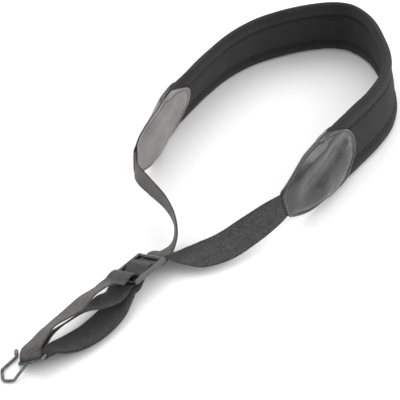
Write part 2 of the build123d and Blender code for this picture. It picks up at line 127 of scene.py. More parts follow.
def hermite(a, b, tangent_a, tangent_b, t):
    """Point at t on the cubic from a to b with the given end tangents."""
    t2 = t * t
    t3 = t2 * t
    start = a * (2 * t3 - 3 * t2 + 1) + tangent_a * (t3 - 2 * t2 + t)
    return start + b * (3 * t2 - 2 * t3) + tangent_b * (t3 - t2)


def tangents(points, chords):
    """Catmull-Rom tangent at each point, per unit of chord length."""
    last = len(points) - 1
    found = []
    for i in range(len(points)):
        low = max(i - 1, 0)
        high = min(i + 1, last)
        found.append((points[high] - points[low]) / (chords[high] - chords[low]))
    return found


def strap_rows(stations, step):
    """Sections along a strap: centre, width direction and face normal at each."""
    points = [Vector(s[:3]) for s in stations]
    widths = [direction(*s[3:]) for s in stations]
    chords = [0.0]
    for a, b in zip(points, points[1:]):
        chords.append(chords[-1] + (b - a).length)
    point_slopes = tangents(points, chords)
    width_slopes = tangents(widths, chords)
    centres = []
    acrosses = []
    for i in range(len(points) - 1):
        span = chords[i + 1] - chords[i]
        count = max(1, round(span / step))
        for k in range(count):
            t = k / count
            ends = (point_slopes[i] * span, point_slopes[i + 1] * span)
            centres.append(hermite(points[i], points[i + 1], *ends, t))
            ends = (width_slopes[i] * span, width_slopes[i + 1] * span)
            acrosses.append(hermite(widths[i], widths[i + 1], *ends, t))
    centres.append(points[-1])
    acrosses.append(widths[-1])
    last = len(centres) - 1
    rows = []
    for i, centre in enumerate(centres):
        along = (centres[min(i + 1, last)] - centres[max(i - 1, 0)]).normalized()
        across = (acrosses[i] - along * acrosses[i].dot(along)).normalized()
        rows.append((centre, across, across.cross(along)))
    return rows


def row_distances(rows):
    """Distance along the route at each section."""
    found = [0.0]
    for a, b in zip(rows, rows[1:]):
        found.append(found[-1] + (b[0] - a[0]).length)
    return found


def row_at(rows, distances, place):
    """Section at a distance along the route."""
    low = 0
    high = len(rows) - 1
    while high - low > 1:
        middle = (low + high) // 2
        if distances[middle] < place:
            low = middle
        else:
            high = middle
    t = (place - distances[low]) / (distances[high] - distances[low])
    a = rows[low]
    b = rows[high]
    centre = a[0].lerp(b[0], t)
    across = a[1].lerp(b[1], t).normalized()
    up = a[2].lerp(b[2], t)
    return (centre, across, (up - across * up.dot(across)).normalized())


def even_rows(rows, start, end, step):
    """Sections at even distances from start to end."""
    distances = row_distances(rows)
    count = max(1, round((end - start) / step))
    places = [start + (end - start) * k / count for k in range(count + 1)]
    return [row_at(rows, distances, p) for p in places], places


def looked_up(table, place):
    """Value at a place in a table of (place, value), straight between entries."""
    for (a, low), (b, high) in zip(table, table[1:]):
        if place <= b:
            return low + (high - low) * max(0.0, place - a) / (b - a)
    return table[-1][1]


def smooth(low, high, x):
    """0 below low, 1 above high, and an S between."""
    t = min(1.0, max(0.0, (x - low) / (high - low)))
    return t * t * (3 - 2 * t)


# -------------------------------------------------------------- slider and hook places
SLIDER_ACROSS = direction(-90, SLIDER_TILT)
SLIDER_UP = SLIDER_ACROSS.cross(Vector((1, 0, 0)))
FIRST_LAYER = BAR_RADIUS + WEB_GAP + WEB_THICK / 2
SECOND_LAYER = FIRST_LAYER + LAYER
LOWER_DROP = UPPER_DROP + LAYER
PASS_END = END_BAR_U + 3.0
TURN_END = END_BAR_U + 2.0
PULL = (Vector((1, 0, 0)) - EYE_AXIS * EYE_AXIS.x).normalized()
EYE_UP = EYE_AXIS.cross(PULL)
INNER_WRAP = HOOK_WIRE_RADIUS + WEB_GAP + WEB_THICK / 2
OUTER_WRAP = INNER_WRAP + LAYER
EYE_HEADING = math.degrees(math.atan2(EYE_AXIS.y, EYE_AXIS.x))
EYE_RISE = math.degrees(math.asin(EYE_AXIS.z))


def on_slider(u, h):
    """Station at u along the slider and h above its mid-plane."""
    centre = SLIDER_CENTRE + Vector((u, 0, 0)) + SLIDER_UP * h
    return (*centre, -90, SLIDER_TILT)


def facing_back(u, h):
    """Station on the slider of a web that comes the other way, same face up."""
    x, y, z, heading, rise = on_slider(u, h)
    return (x, y, z, heading + 180, -rise)


def at_eye(along, up):
    """Station beside the hook's eye: along the web's pull and up from the bar."""
    centre = EYE_CENTRE + PULL * along + EYE_UP * up
    return (*centre, EYE_HEADING, EYE_RISE)


def round_bar(bar, radius, start, end):
    """Stations round a slider bar, from one angle to another, 90 being on top."""
    u, h = bar
    found = []
    for k in range(TURN_STEPS + 1):
        angle = math.radians(start + (end - start) * k / TURN_STEPS)
        found.append(on_slider(u + radius * math.cos(angle), h + radius * math.sin(angle)))
    return found


def slider_pass(top_radius, middle_radius, bottom_radius):
    """Stations of a web under the top bar, over the middle one and below the bottom one."""
    top = (END_BAR_U, 0)
    middle = (MIDDLE_BAR_U, -MIDDLE_BAR_DROP)
    bottom = (-END_BAR_U, 0)
    upper_run = math.hypot(END_BAR_U - MIDDLE_BAR_U, MIDDLE_BAR_DROP)
    lower_run = math.hypot(END_BAR_U + MIDDLE_BAR_U, MIDDLE_BAR_DROP)
    rise = math.asin((top_radius + middle_radius) / upper_run)
    rise = math.degrees(rise - math.asin(MIDDLE_BAR_DROP / upper_run))
    fall = math.asin((middle_radius + bottom_radius) / lower_run)
    fall = math.degrees(fall - math.asin(MIDDLE_BAR_DROP / lower_run))
    stations = [on_slider(END_BAR_U + 3.0, -top_radius + 0.1)]
    stations += round_bar(top, top_radius, -90, -90 - rise)
    stations += round_bar(middle, middle_radius, 90 - rise, 90 + fall)
    stations += round_bar(bottom, bottom_radius, -90 + fall, -90)
    stations.append(on_slider(-TURN_END, -bottom_radius))
    return stations


def off_eye(radius, slope, run):
    """Station of a strand that leaves the top of a wrap at a slope, after a straight run."""
    lean = math.radians(slope)
    along = run * math.cos(lean) - radius * math.sin(lean)
    return at_eye(along, run * math.sin(lean) + radius * math.cos(lean))


def from_above(radius, slope):
    """Last stations of a strand that comes down to the top of a wrap."""
    return [off_eye(radius, slope, run) for run in (HOOK_CLEAR + STRAIGHT_RUN, HOOK_CLEAR)]


def from_below(up):
    """Last stations of a strand that comes in below the eye's bar."""
    return [at_eye(HOOK_CLEAR + STRAIGHT_RUN, up), at_eye(HOOK_CLEAR, up)]


def round_eye(radius, slope):
    """Stations of a turn round the eye's bar, from its sloping top strand to below."""
    found = [off_eye(radius, slope, WRAP_END)]
    for k in range(TURN_STEPS + 1):
        angle = math.radians(90 + slope + (180 - slope) * k / TURN_STEPS)
        found.append(at_eye(radius * math.cos(angle), radius * math.sin(angle)))
    return found + [at_eye(WRAP_END, -radius)]


def strand_rows(leave, route, arrive):
    """Sections from the slider to the hook, square to its bar at both ends."""
    u, h = leave
    first = [on_slider(u - JOIN_GAP, h), on_slider(u - JOIN_GAP - STRAIGHT_RUN, h)]
    return strap_rows(first + route + arrive, 1.2)


LEFT_ENTRY = [
    on_slider(PASS_END + JOIN_GAP, -FIRST_LAYER),
    on_slider(PASS_END + 4.0, -FIRST_LAYER + 0.6),
]
RIGHT_ENTRY = [
    facing_back(PASS_END + 4.7, -SECOND_LAYER),
    facing_back(PASS_END + JOIN_GAP, -SECOND_LAYER),
]
STRAP = strap_rows(LEFT_ENTRY + LEFT_WEB + NECK_PAD + RIGHT_WEB + RIGHT_ENTRY, 1.0)
STRAP_AT = row_distances(STRAP)


def place_of(x, y):
    """Distance along the strap of the section nearest to a point of the floor plan."""
    gaps = [math.hypot(row[0].x - x, row[0].y - y) for row in STRAP]
    return STRAP_AT[gaps.index(min(gaps))]


LEFT_TIP = place_of(-29, 49.5) + 3.0
RIGHT_TIP = place_of(18, -81.5) + 4.0
TAB_PLACE = place_of(250, 43)
PAD_START = LEFT_TIP + PAD_IN_PATCH
PAD_END = RIGHT_TIP - PAD_IN_PATCH


# ----------------------------------------------------------------------- mesh building
def new_object(name, points, faces, flows):
    """Smooth-shaded object; flows gives each point's place in its cloth, in metres."""
    mesh = bpy.data.meshes.new(name)
    mesh.from_pydata([(p + DATUM) * MM for p in points], [], faces)
    mesh.validate()
    flow = mesh.attributes.new("flow", "FLOAT_VECTOR", "POINT")
    flow.data.foreach_set("vector", [c * MM for f in flows for c in f])
    mesh.polygons.foreach_set("use_smooth", [True] * len(mesh.polygons))
    made = bpy.data.objects.new(name, mesh)
    bpy.context.scene.collection.objects.link(made)
    return made


def add_shell(points, faces, flows, rows, places, tops, bottoms):
    """Closed skin along sections: a top and a bottom line of (across, up) at each."""
    first = len(points)
    count = len(tops[0])
    ring = 2 * count
    for row, place, top, bottom in zip(rows, places, tops, bottoms):
        centre, across, up = row
        for line in (top, bottom[::-1]):
            for v, h in line:
                points.append(centre + across * v + up * h)
                flows.append((place, v, h))
    for i in range(len(rows) - 1):
        a = first + i * ring
        for k in range(ring):
            n = (k + 1) % ring
            faces.append((a + k, a + n, a + ring + n, a + ring + k))
    for a, flip in ((first, True), (first + (len(rows) - 1) * ring, False)):
        for k in range(count - 1):
            quad = (a + k, a + k + 1, a + ring - 2 - k, a + ring - 1 - k)
            faces.append(quad if flip else quad[::-1])


def shell(name, rows, places, tops, bottoms):
    """One closed skin as an object."""
    points, faces, flows = [], [], []
    add_shell(points, faces, flows, rows, places, tops, bottoms)
    return new_object(name, points, [f[::-1] for f in faces], flows)


def edge_spaced(half, fine, count):
    """Offsets from -half to half, close together near both edges."""
    side = [half - f for f in fine if f < half * 0.9]
    inner = side[-1]
    middle = [inner - 2 * inner * k / count for k in range(1, count)]
    offsets = side + middle + [-v for v in side[::-1]]
    return offsets[::-1]


WEB_OFFSETS = edge_spaced(WEB_WIDTH / 2, [0, 0.1, 0.3, 0.7, 1.2, 1.9], 14)


def web_line(offset, side, cup):
    """One face of the webbing: round selvedges with a slight bead."""
    line = []
    half = WEB_WIDTH / 2
    for v in WEB_OFFSETS:
        inset = half - abs(v)
        fall = 1 - min(1.0, inset / 0.7)
        thick = WEB_THICK / 2 * math.sqrt(max(0.04, 1 - fall * fall))
        bead = 0.09 * math.exp(-((inset - 1.1) / 0.6) ** 2)
        line.append((v, offset + side * (thick + bead) + cup * (v * v / half / half - 0.4)))
    return line


def web_object(name, rows, offset=0.0, cup=0.0):
    """Woven web along sections, with small waves that stacked layers share."""
    places = row_distances(rows)
    tops = []
    bottoms = []
    for row, place in zip(rows, places):
        ends = smooth(0, 22, place) * smooth(0, 22, places[-1] - place)
        wave = noise.noise(row[0] * 0.045) * 0.35 * ends
        bend = cup * ends * (0.7 + 0.6 * noise.noise(row[0] * 0.03))
        tops.append(web_line(offset + wave, 1, bend))
        bottoms.append(web_line(offset + wave, -1, bend))
    return shell(name, rows, places, tops, bottoms)


def stitch_rings(path, ups, places, s, length, radius):
    """Sections of one stitch that dives into the cloth at both ends."""
    profile = [(0.0, 0.45, -0.75), (0.12, 0.85, -0.2), (0.35, 1.0, 0.12), (0.65, 1.0, 0.12),
               (0.88, 0.85, -0.2), (1.0, 0.45, -0.75)]
    rings = []
    for t, wide, lift in profile:
        d = s + length * t
        i = max(k for k in range(len(places) - 1) if places[k] <= d)
        f = (d - places[i]) / (places[i + 1] - places[i])
        point = path[i].lerp(path[i + 1], f)
        along = (path[i + 1] - path[i]).normalized()
        up = ups[i].lerp(ups[i + 1], f)
        up = (up - along * up.dot(along)).normalized()
        side = up.cross(along)
        middle = point + up * (radius * lift)
        ring = []
        for k in range(6):
            angle = math.tau * k / 6
            spoke = side * math.cos(angle) + up * (math.sin(angle) * 0.8)
            ring.append((middle + spoke * (radius * wide), (d, angle, 0)))
        rings.append(ring)
    return rings


def stitches(name, lines, pitch=3.1, length=2.5, radius=0.36):
    """Rows of separate stitches along lines of (points, ups)."""
    points, faces, flows = [], [], []
    for path, ups in lines:
        places = [0.0]
        for a, b in zip(path, path[1:]):
            places.append(places[-1] + (b - a).length)
        count = int((places[-1] - 0.5) / pitch)
        for n in range(count):
            s = 0.3 + n * pitch
            first = len(points)
            rings = stitch_rings(path, ups, places, s, length, radius)
            for ring in rings:
                for p, f in ring:
                    points.append(p)
                    flows.append(f)
            for i in range(len(rings) - 1):
                a = first + 6 * i
                for k in range(6):
                    m = (k + 1) % 6
                    faces.append((a + k, a + 6 + k, a + 6 + m, a + m))
            faces.append(tuple(first + k for k in range(6)))
            last = first + 6 * (len(rings) - 1)
            faces.append(tuple(last + 5 - k for k in range(6)))
    return new_object(name, points, faces, flows)


# ------------------------------------------------------------------------ the neck pad
RIM = [(17.35, 2.62), (17.8, 2.8), (18.5, 2.9), (19.2, 3.2), (20.0, 3.75), (21.2, 4.3),
       (22.8, 4.65), (24.6, 4.7), (26.4, 4.5), (28.0, 4.0), (29.3, 3.2), (30.2, 2.3),
       (30.8, 1.3), (31.05, 0.4)]
PANEL = [(0, 3.95), (6, 3.9), (10, 3.8), (13, 3.6), (14.6, 3.4), (15.6, 3.15), (16.4, 2.85),
         (17.0, 2.62)]
STITCH_PITCH = 3.1


def bend_of(i, rows):
    """Signed curvature at a section, positive where the outer face is stretched."""
    a = rows[max(i - 6, 0)]
    b = rows[min(i + 6, len(rows) - 1)]
    run = (b[0] - a[0]).length
    turn = (b[2] - a[2]).dot((b[0] - a[0]).normalized())
    return turn / run


def creased(s, v, face, squeeze):
    """Soft unevenness of the padding, with folds across it where it is squeezed."""
    soft = noise.noise(Vector((s / 26, v / 16, 5.0 * face))) * 0.30
    soft += noise.noise(Vector((s / 9, v / 7, 9.0 * face))) * 0.10
    lean = s + 0.35 * v * noise.noise(Vector((s / 40, 0.3, face)))
    fold = noise.noise(Vector((lean / 4.6, v / 40, 2.0 * face)))
    return soft - squeeze * (0.5 + fold) * 0.55


def pucker(s):
    """How much the cloth is drawn in at a stitch."""
    return 0.5 + 0.5 * math.cos(math.tau * s / STITCH_PITCH)


PAD_ROWS, PAD_PLACES = even_rows(STRAP, PAD_START, PAD_END, 0.78)
PAD_BENDS = [bend_of(i, PAD_ROWS) for i in range(len(PAD_ROWS))]


def squeeze_at(i, face):
    """0 to 1: how strongly this face is compressed along the pad."""
    return min(1.0, max(0.0, -face * PAD_BENDS[i] * 34 - 0.12))


def rim_line(side, i):
    """Outer line of a puffed binding, from its outer face round to its inner face."""
    s = PAD_PLACES[i]
    line = []
    for face in (1, -1):
        half_line = []
        for v, h in RIM:
            near = math.exp(-((v - 18.5) / 1.3) ** 2)
            puff = smooth(18.5, 23, v) * smooth(31.2, 28, v)
            lift = creased(s, v * side, face, squeeze_at(i, face)) * puff
            wave = noise.noise(Vector((s / 30, side * 3.0, 1.7))) * 0.35 * smooth(27, 31, v)
            half_line.append(((v + wave) * side, face * (h + lift - 0.14 * near * pucker(s))))
        line += half_line if face > 0 else half_line[::-1]
    return line


def pocket_line(side, count):
    """Inner line of a binding, round the edge of the foam."""
    corners = [(17.4, 2.5), (CORE_HALF + 0.1, 2.5), (CORE_HALF + 0.1, -2.5), (17.4, -2.5)]
    marks = [0.0]
    for (a, b), (c, d) in zip(corners, corners[1:]):
        marks.append(marks[-1] + math.hypot(c - a, d - b))
    across = [(m, c[0]) for m, c in zip(marks, corners)]
    high = [(m, c[1]) for m, c in zip(marks, corners)]
    places = [marks[-1] * k / (count - 1) for k in range(count)]
    return [(looked_up(across, p) * side, looked_up(high, p)) for p in places]


def binding(name, side):
    """Puffed edge binding."""
    outer = [rim_line(side, i) for i in range(len(PAD_ROWS))]
    inner = [pocket_line(side, len(outer[0]))] * len(PAD_ROWS)
    if side > 0:
        return shell(name, PAD_ROWS, PAD_PLACES, inner, outer)
    return shell(name, PAD_ROWS, PAD_PLACES, outer, inner)


def panel(name, face):
    """Crowned centre panel, drawn in along its two seams."""
    offsets = [(-v, h) for v, h in PANEL[:0:-1]] + PANEL
    outer = []
    inner = []
    for i, s in enumerate(PAD_PLACES):
        line = []
        for v, h in offsets:
            free = smooth(17, 13.5, abs(v))
            lift = creased(s, v, face * 1.5, squeeze_at(i, face)) * free
            near = math.exp(-((abs(v) - 16.6) / 1.2) ** 2)
            line.append((v, face * (h + lift - 0.12 * near * pucker(s))))
        outer.append(line)
        inner.append([(v, face * 2.5) for v, _ in offsets])
    if face > 0:
        return shell(name, PAD_ROWS, PAD_PLACES, outer, inner)
    return shell(name, PAD_ROWS, PAD_PLACES, inner, outer)


def foam_core(name):
    """Foam between the panels, thinned where it ends between the leathers."""
    start = LEFT_TIP + CORE_IN_PATCH
    end = RIGHT_TIP - CORE_IN_PATCH
    rows, places = even_rows(STRAP, start, end, 2.5)
    tops = []
    bottoms = []
    for s in places:
        depth = CORE_IN_PATCH + min(s - start, end - s)
        half = CORE_HALF if depth > PAD_IN_PATCH else min(CORE_HALF, outline_half(depth) - 4)
        thick = min(2.4, looked_up(STAND_OFF, depth) - 1.2)
        fractions = [-1, -0.97, -0.9, -0.6, -0.2, 0.2, 0.6, 0.9, 0.97, 1]
        heights = [thick * math.sqrt(1 - 0.7 * abs(f) ** 14) for f in fractions]
        tops.append([(half * f, h) for f, h in zip(fractions, heights)])
        bottoms.append([(half * f, -h) for f, h in zip(fractions, heights)])
    return shell(name, rows, places, tops, bottoms)


def seam_lines(face):
    """Stitch lines in the two channels of one face."""
    rows, _ = even_rows(STRAP, LEFT_TIP + 103, RIGHT_TIP - 103, 1.0)
    lines = []
    for side in (1, -1):
        path = [c + a * (side * 18.3) + u * (face * 2.95) for c, a, u in rows]
        lines.append((path, [u * face for _, _, u in rows]))
    return lines


TAB_HALF_WIDE = 5.5
TAB_HALF_TALL = 13.0


def centre_tab(name):
    """Plain folded tab sewn on the inner panel at the middle of the neck."""
    rows, places = even_rows(STRAP, TAB_PLACE - TAB_HALF_WIDE, TAB_PLACE + TAB_HALF_WIDE, 0.5)
    offsets = edge_spaced(TAB_HALF_TALL, [0, 0.15, 0.4, 0.9, 1.6], 12)
    tops = []
    bottoms = []
    for s in places:
        inset = TAB_HALF_WIDE - abs(s - TAB_PLACE)
        low = []
        high = []
        for v in offsets:
            edge = min(inset, TAB_HALF_TALL - abs(v))
            rounded = math.sqrt(max(0.03, 1 - (1 - min(1, edge / 0.5)) ** 2))
            ridge = 0.2 * math.exp(-((edge - 2.6) / 0.8) ** 2)
            base = -looked_up(PANEL, abs(v)) + 0.35
            low.append((v, base - (1.15 + 0.1 * noise.noise(Vector((s / 3, v / 3, 0)))
                                   - ridge) * rounded))
            high.append((v, base))
        tops.append(high)
        bottoms.append(low)
    return shell(name, rows, places, tops, bottoms)


def tab_lines():
    """Rectangle of stitching on the tab."""
    wide = TAB_HALF_WIDE - 1.6
    tall = TAB_HALF_TALL - 1.6
    corners = [(-wide, -tall), (wide, -tall), (wide, tall), (-wide, tall), (-wide, -tall)]
    lines = []
    for (s0, v0), (s1, v1) in zip(corners, corners[1:]):
        path = []
        ups = []
        for k in range(9):
            s = s0 + (s1 - s0) * k / 8
            v = v0 + (v1 - v0) * k / 8
            centre, across, up = row_at(STRAP, STRAP_AT, TAB_PLACE + s)
            path.append(centre + across * v - up * (looked_up(PANEL, abs(v)) + 0.78))
            ups.append(-up)
        lines.append((path, ups))
    return lines


# ------------------------------------------------------------------ leather end patches
HALF_WIDTHS = [
    (0, 6.0), (0.35, 9.6), (0.9, 11.8), (2, 14.0), (5, 17), (12, 21.5), (22, 26.5), (34, 30.5),
    (46, 32), (58, 32.2), (70, 31.2), (82, 28), (92, 23), (99, 17), (103, 11.6), (105, 7.2),
    (105.8, 4.0), (106, 1.6),
]
STAND_OFF = [(0, 1.5), (12, 1.6), (24, 2.5), (36, 3.7), (50, 4.8), (66, 5.2), (106, 4.8)]
HEM_HEIGHT = [(0, 1.5), (8, 1.3), (20, 1.0), (40, 0.9), (60, 1.1), (106, 1.2)]
DEPTHS = [0, 0.15, 0.35, 0.6, 0.9, 1.4, 2, 2.6, 3.2, 3.8, 4.5]
CLOSED_HEM = 0.62                       # half height of the hem where no web lies in it
RIGHT_OUTER = 1                         # fold styles, which also seed the leather's noise
LEFT_INNER = 2
LEFT_OUTER = 3
RIGHT_INNER = 4


def outline_half(depth):
    """Half width of a leather at a depth from its narrow tip, eased between entries."""
    for i in range(len(HALF_WIDTHS) - 1):
        if depth <= HALF_WIDTHS[i + 1][0]:
            break
    a = HALF_WIDTHS[max(i - 1, 0)]
    b = HALF_WIDTHS[i]
    c = HALF_WIDTHS[i + 1]
    d = HALF_WIDTHS[min(i + 2, len(HALF_WIDTHS) - 1)]
    span = c[0] - b[0]
    slope_b = (c[1] - a[1]) / (c[0] - a[0])
    slope_c = (d[1] - b[1]) / (d[0] - b[0])
    if i < 3 or i > 13:
        return looked_up(HALF_WIDTHS, depth)
    return hermite(b[1], c[1], slope_b * span, slope_c * span, (depth - b[0]) / span)


OUTLINE = [(d * 0.5, outline_half(d * 0.5)) for d in range(int(2 * PATCH_LENGTH) + 1)]


def edge_distance(depth, v):
    """Distance from a point of a leather to its outline."""
    best = min(depth, PATCH_LENGTH - depth)
    v = abs(v)
    for (a, b), (c, d) in zip(OUTLINE, OUTLINE[1:]):
        if abs(a - depth) > 16:
            continue
        run = c - a
        rise = d - b
        t = ((depth - a) * run + (v - b) * rise) / (run * run + rise * rise)
        t = min(1.0, max(0.0, t))
        best = min(best, math.hypot(depth - a - run * t, v - b - rise * t))
    return best


def line_dip(depth, v, start, end, width):
    """Strength of a soft crease that runs between two points of a leather."""
    run = end[0] - start[0]
    rise = end[1] - start[1]
    t = ((depth - start[0]) * run + (v - start[1]) * rise) / (run * run + rise * rise)
    t = min(1.0, max(0.0, t))
    off = math.hypot(depth - start[0] - run * t, v - start[1] - rise * t)
    return math.exp(-(off / width) ** 2)


def leather_folds(style, depth, v):
    """Soft folds in the middle of a leather."""
    folds = noise.noise(Vector((depth / 22, v / 15, style * 4.0))) * 0.5
    folds += noise.noise(Vector((depth / 8, v / 7, style * 8.0))) * 0.10
    if style == RIGHT_OUTER:
        folds -= 3.2 * line_dip(depth, v, (24, -3), (74, 10), 8.5)
        folds -= 1.2 * line_dip(depth, v, (84, 16), (95, 17), 2.4)
        folds += 1.0 * line_dip(depth, v, (88, 9), (97, 12), 2.6)
        folds += 1.8 * line_dip(depth, v, (50, -14), (84, -8), 10.0)
    if style == LEFT_INNER:
        folds -= 1.2 * line_dip(depth, v, (26, 3), (88, -2), 6.0)
        folds += 0.6 * line_dip(depth, v, (40, -13), (84, -13), 5.0)
    return folds


def leather_height(style, dome, depth, v):
    """Mid-surface of a leather above the middle of the strap, and its edge distance."""
    e = edge_distance(depth, v)
    beyond_web = smooth(WEB_WIDTH / 2 + 0.5, WEB_WIDTH / 2 + 5, abs(v))
    loose = looked_up(HEM_HEIGHT, depth) * (1 - beyond_web) + CLOSED_HEM * beyond_web
    loose += (looked_up(STAND_OFF, depth) - loose) * smooth(0.5, 9, e)
    rim = max(3.75, looked_up(RIM, abs(v)) if abs(v) > 17.4 else 0)
    if abs(v) > 28:
        rim = looked_up(RIM, abs(v))
    over_pad = rim + 0.62 + 0.25 * smooth(31.5, 27, abs(v))
    w = smooth(52, 62, depth)
    height = loose * (1 - w) + over_pad * w
    inside = smooth(3.0, 12.5, e)
    height += dome * inside * (0.4 + 0.6 * smooth(0, 30, depth))
    height += leather_folds(style, depth, v) * inside * smooth(8, 34, depth)
    return height, e


def leather(name, tip, way, face, style, dome):
    """Domed leather with a rolled hem and a sunk stitch line."""
    depths = DEPTHS + [6 + k * 1.16 for k in range(82)]
    depths += [PATCH_LENGTH - d for d in DEPTHS[::-1]]
    rows = [row_at(STRAP, STRAP_AT, tip + way * d) for d in depths]
    tops = []
    bottoms = []
    for depth in depths:
        half = outline_half(depth)
        fine = [0, 0.12, 0.3, 0.6, 1.0, 1.6, 2.2, 2.7, 3.1, 3.6, 4.2, 5.0, 6.2, 7.6]
        if half < 12:
            fine = [f * half / 12 for f in fine]
        top = []
        bottom = []
        for v in edge_spaced(half, fine, 20):
            middle, e = leather_height(style, dome, depth, v)
            rounded = math.sqrt(max(0.05, 1 - (1 - min(1.0, e / 0.5)) ** 2))
            groove = 0.32 * math.exp(-((e - 3.0) / 0.5) ** 2)
            groove += 0.25 * math.exp(-((e - 5.6) / 0.5) ** 2) * smooth(88, 94, depth)
            hem = 0.22 * smooth(0, 0.8, e) * smooth(3.0, 2.0, e)
            grain = noise.noise(Vector((depth / 2.2, v / 2.2, style * 3.0))) * 0.035
            thick = 0.5 * rounded
            top.append((v, face * (middle + thick + hem - groove + grain)))
            bottom.append((v, face * (middle - thick)))
        tops.append(top)
        bottoms.append(bottom)
    if face * way > 0:
        return shell(name, rows, depths, tops, bottoms)
    return shell(name, rows, depths, bottoms, tops)


def patch_lines(tip, way, face, style, dome):
    """Stitch line inside the edge of a leather, doubled across its wide end."""
    lines = []
    for inset, first in ((3.0, 3.5), (5.6, 92.0)):
        side = []
        depth = first
        while depth < PATCH_LENGTH - inset:
            half = outline_half(depth) - inset * (1.0 + 0.25 * smooth(85, 103, depth))
            half -= 2.0 * smooth(98, 104, depth)
            if half < 3.0:
                break
            side.append((depth, half))
            depth += 1.3
        across = side[-1][1]
        closing = [(side[-1][0] + 0.15, across * (1 - k / 3)) for k in range(1, 6)]
        path2d = side + closing + [(d, -v) for d, v in side[::-1]]
        path = []
        ups = []
        for d, v in path2d:
            centre, across_dir, up = row_at(STRAP, STRAP_AT, tip + way * d)
            middle, _ = leather_height(style, dome, d, v)
            path.append(centre + across_dir * v + up * (face * (middle + 0.36)))
            ups.append(up * face)
        lines.append((path, ups))
    return lines


# --------------------------------------------------------------------------- materials
def new_look(name):
    """Material with its tree and its shader."""
    look = bpy.data.materials.new(name)
    look.use_nodes = True
    tree = look.node_tree
    return look, tree, tree.nodes["Principled BSDF"]


def add(tree, kind, inputs, **settings):
    """Node with its settings, and each input linked or set."""
    made = tree.nodes.new(kind)
    for key, value in settings.items():
        setattr(made, key, value)
    for key, value in inputs.items():
        if isinstance(value, bpy.types.NodeSocket):
            tree.links.new(value, made.inputs[key])
        else:
            made.inputs[key].default_value = value
    return made


def calc(tree, operation, a, b=0.0, c=0.0):
    """Math node."""
    made = add(tree, "ShaderNodeMath", {0: a, 1: b, 2: c}, operation=operation)
    return made.outputs[0]


def flow_parts(tree):
    """Place in the cloth in millimetres: the vector, then along and across."""
    flow = add(tree, "ShaderNodeAttribute", {}, attribute_name="flow").outputs["Vector"]
    scaled = add(tree, "ShaderNodeVectorMath", {0: flow, "Scale": 1000.0}, operation="SCALE")
    parts = add(tree, "ShaderNodeSeparateXYZ", {0: scaled.outputs[0]}).outputs
    return scaled.outputs[0], parts[0], parts[1]


def body_mm(tree):
    """Place on the object in millimetres."""
    place = add(tree, "ShaderNodeTexCoord", {}).outputs["Object"]
    scaled = add(tree, "ShaderNodeVectorMath", {0: place, "Scale": 1000.0}, operation="SCALE")
    return scaled.outputs[0]


def grain(tree, vector, scale, detail=3.0, rough=0.55):
    """Noise value."""
    inputs = {"Vector": vector, "Scale": scale, "Detail": detail, "Roughness": rough}
    return add(tree, "ShaderNodeTexNoise", inputs).outputs[0]


def ramp(tree, value, low, high, to_low=0.0, to_high=1.0):
    """Value stretched from one range to another, held at the ends."""
    inputs = {0: value, 1: low, 2: high, 3: to_low, 4: to_high}
    return add(tree, "ShaderNodeMapRange", inputs).outputs[0]


def blend_colour(tree, factor, a, b):
    """Mix of two colours."""
    made = tree.nodes.new("ShaderNodeMix")
    made.data_type = "RGBA"
    for socket, value in ((made.inputs[0], factor), (made.inputs[6], a), (made.inputs[7], b)):
        if isinstance(value, bpy.types.NodeSocket):
            tree.links.new(value, socket)
        elif isinstance(value, tuple):
            socket.default_value = (*value, 1.0)
        else:
            socket.default_value = value
    return made.outputs[2]


def bump(tree, shader, height, distance, strength=1.0):
    """Bump of a height in units of distance, in metres."""
    inputs = {"Height": height, "Distance": distance, "Strength": strength}
    made = add(tree, "ShaderNodeBump", inputs)
    tree.links.new(made.outputs[0], shader.inputs["Normal"])


def sine(tree, value, period, phase=0.0):
    """Sine of a place in millimetres."""
    angle = calc(tree, "MULTIPLY_ADD", value, math.tau / period, phase)
    return calc(tree, "SINE", angle)


def knit_look(name, dark, pale, period):
    """Stretch knit over foam: fine wales and courses, lint and rubbed patches."""
    look, tree, shader = new_look(name)
    place, along, across = flow_parts(tree)
    stray = grain(tree, place, 0.8, 4.0)
    worn = grain(tree, place, 0.06, 3.0)
    wales = sine(tree, along, period)
    courses = sine(tree, across, period * 0.8)
    knit = calc(tree, "MULTIPLY_ADD", wales, courses, stray)
    shade = calc(tree, "MULTIPLY_ADD", knit, 0.35, worn)
    colour = blend_colour(tree, ramp(tree, shade, 0.25, 1.0), dark, pale)
    tree.links.new(colour, shader.inputs["Base Color"])
    tree.links.new(ramp(tree, worn, 0.3, 0.7, 0.72, 0.88), shader.inputs["Roughness"])
    shader.inputs["Sheen Weight"].default_value = 0.09
    shader.inputs["Sheen Roughness"].default_value = 0.5
    shader.inputs["Specular IOR Level"].default_value = 0.22
    bump(tree, shader, knit, 0.00016)
    return look


